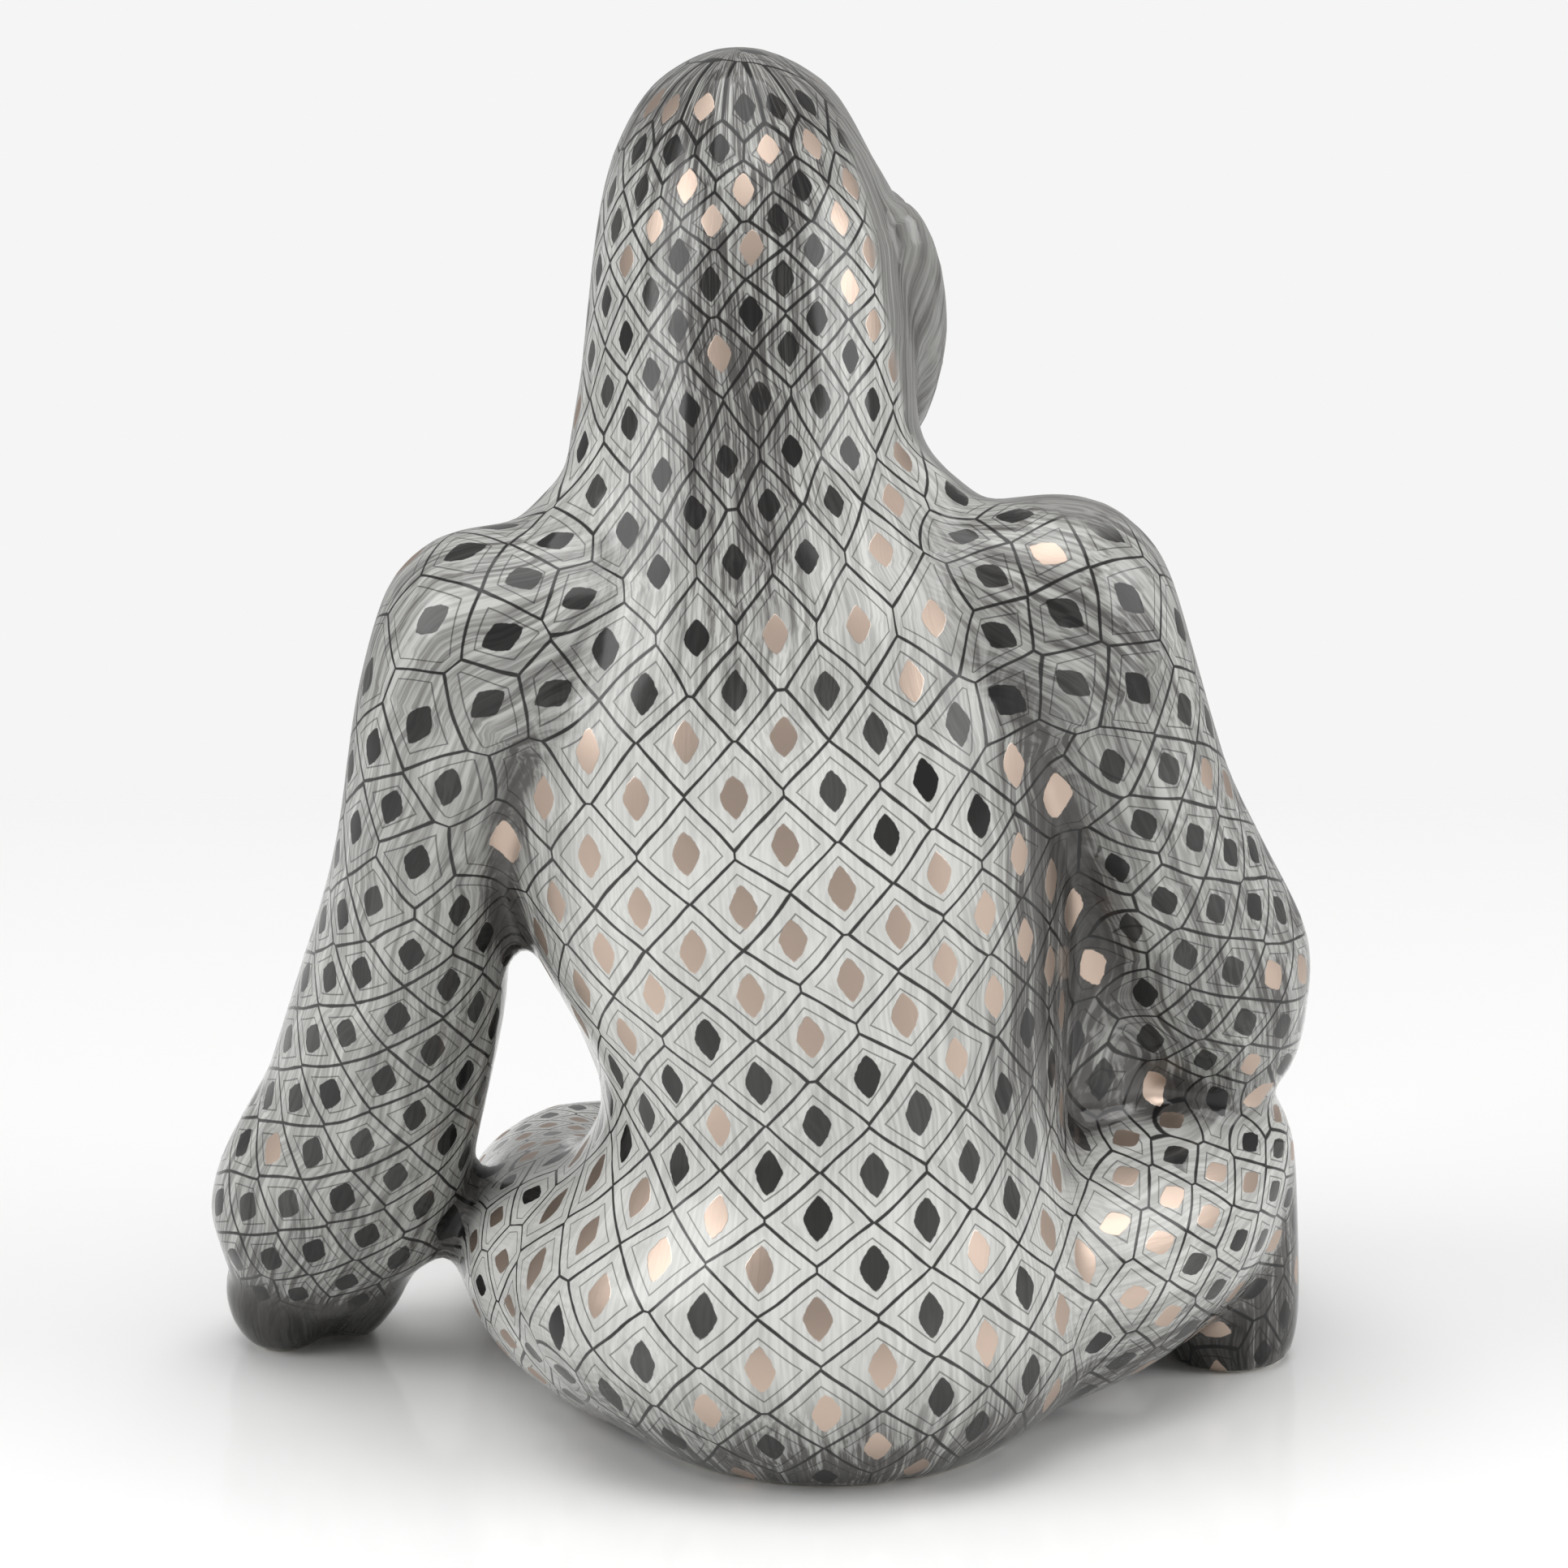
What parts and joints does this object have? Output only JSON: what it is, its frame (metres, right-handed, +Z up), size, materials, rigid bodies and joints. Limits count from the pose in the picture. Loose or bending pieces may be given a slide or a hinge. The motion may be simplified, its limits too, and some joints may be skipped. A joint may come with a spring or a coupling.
{
  "type": "gorilla figurine",
  "caption": "Seated gorilla figurine in hand-painted glazed porcelain, looking over its right side and leaning on one straight arm.",
  "frame": {"origin": "middle of the footprint's bounding box, on the surface the figurine sits on", "axes": "+Z up, -Y the way the animal's chest faces, +X towards the animal's left hand"},
  "size_m": [0.0918, 0.0806, 0.111],
  "materials": {
    "glazed_porcelain": "clear glossy glaze over white porcelain, painted with dark fur strokes, a thin net of lines and small black and metallic drops"
  },
  "bodies": {
    "root": {"gorilla": "glazed_porcelain"}
  },
  "joints": []
}
